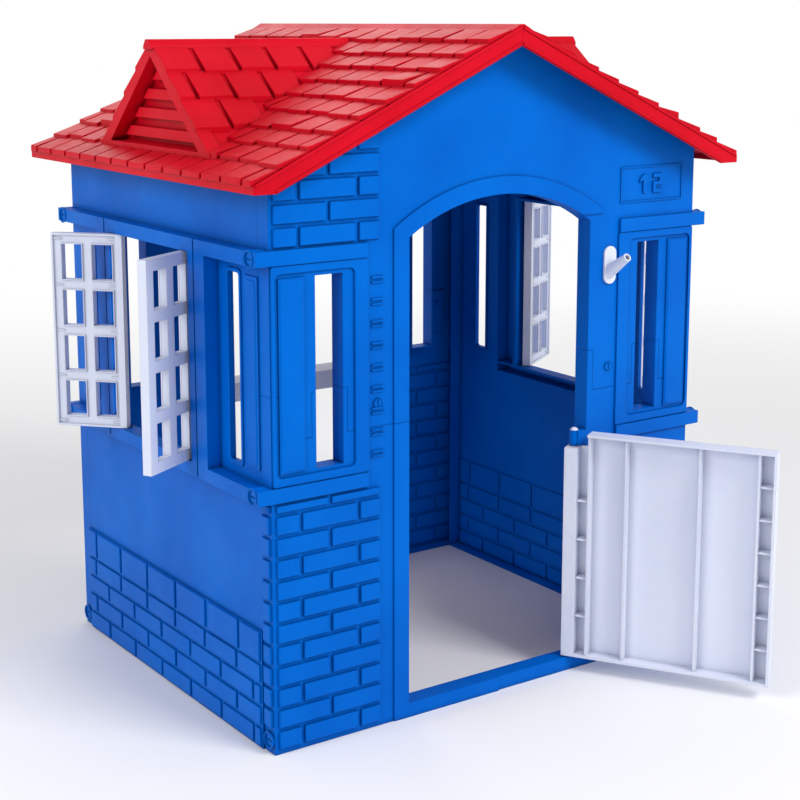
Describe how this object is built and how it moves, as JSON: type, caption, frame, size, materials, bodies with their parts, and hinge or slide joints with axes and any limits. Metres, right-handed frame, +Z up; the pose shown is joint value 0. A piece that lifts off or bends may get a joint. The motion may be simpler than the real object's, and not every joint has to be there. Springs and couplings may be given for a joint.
{
  "type": "plastic playhouse",
  "caption": "Free-standing moulded playhouse with gable roof and dormers, swinging half-door, lattice window shutters, flag holder and rear ledge.",
  "frame": {"origin": "on the ground, in the middle of the front wall's foot, under the threshold", "axes": "+Z up, +X to the right along the front wall seen from outside, +Y from the doorway into the house"},
  "size_m": [1.2714, 1.1991, 1.273],
  "materials": {
    "blue_plastic": "blow-moulded polyethylene, fine pebble grain, satin",
    "red_plastic": "blow-moulded polyethylene with moulded shingles, satin",
    "white_plastic": "moulded polyethylene, faintly cool white, satin",
    "zinc_steel": "bright zinc plate"
  },
  "bodies": {
    "house": {"front_upper_wall": "blue_plastic", "front_lower_wall": "blue_plastic", "back_upper_wall": "blue_plastic", "back_lower_wall": "blue_plastic", "left_side_wall": "blue_plastic", "right_side_wall": "blue_plastic", "left_roof_panel": "red_plastic", "right_roof_panel": "red_plastic", "door_hinge_pin": "white_plastic", "flag_holder": "white_plastic", "flag_holder_screws": "zinc_steel", "rear_ledge": "white_plastic", "rear_ledge_screws": "zinc_steel", "front_seam_screws": "blue_plastic", "back_seam_screws": "blue_plastic", "front_left_corner_screws": "blue_plastic", "front_right_corner_screws": "blue_plastic", "back_left_corner_screws": "blue_plastic", "back_right_corner_screws": "blue_plastic", "left_roof_screws": "red_plastic", "right_roof_screws": "red_plastic"},
    "door": {"half_door": "white_plastic"},
    "left_front_leaf": {"left_front_shutter": "white_plastic"},
    "left_rear_leaf": {"left_rear_shutter": "white_plastic"},
    "right_front_leaf": {"right_front_shutter": "white_plastic"},
    "right_rear_leaf": {"right_rear_shutter": "white_plastic"}
  },
  "joints": [
    {"name": "door_hinge", "type": "hinge", "parent": "house", "child": "door", "pos_m": [0.1995, -0.0065, 0.25], "axis": [0, 0, 1], "range_deg": [-122, 4]},
    {"name": "left_front_hinge", "type": "hinge", "parent": "house", "child": "left_front_leaf", "pos_m": [-0.513, 0.2445, 0.68], "axis": [0, 0, 1], "range_deg": [-120, 19]},
    {"name": "left_rear_hinge", "type": "hinge", "parent": "house", "child": "left_rear_leaf", "pos_m": [-0.513, 0.5205, 0.68], "axis": [0, 0, -1], "range_deg": [-137, 2]},
    {"name": "right_front_hinge", "type": "hinge", "parent": "house", "child": "right_front_leaf", "pos_m": [0.513, 0.2445, 0.68], "axis": [0, 0, -1], "range_deg": [-120, 19]},
    {"name": "right_rear_hinge", "type": "hinge", "parent": "house", "child": "right_rear_leaf", "pos_m": [0.513, 0.5205, 0.68], "axis": [0, 0, 1], "range_deg": [-122, 17]}
  ]
}
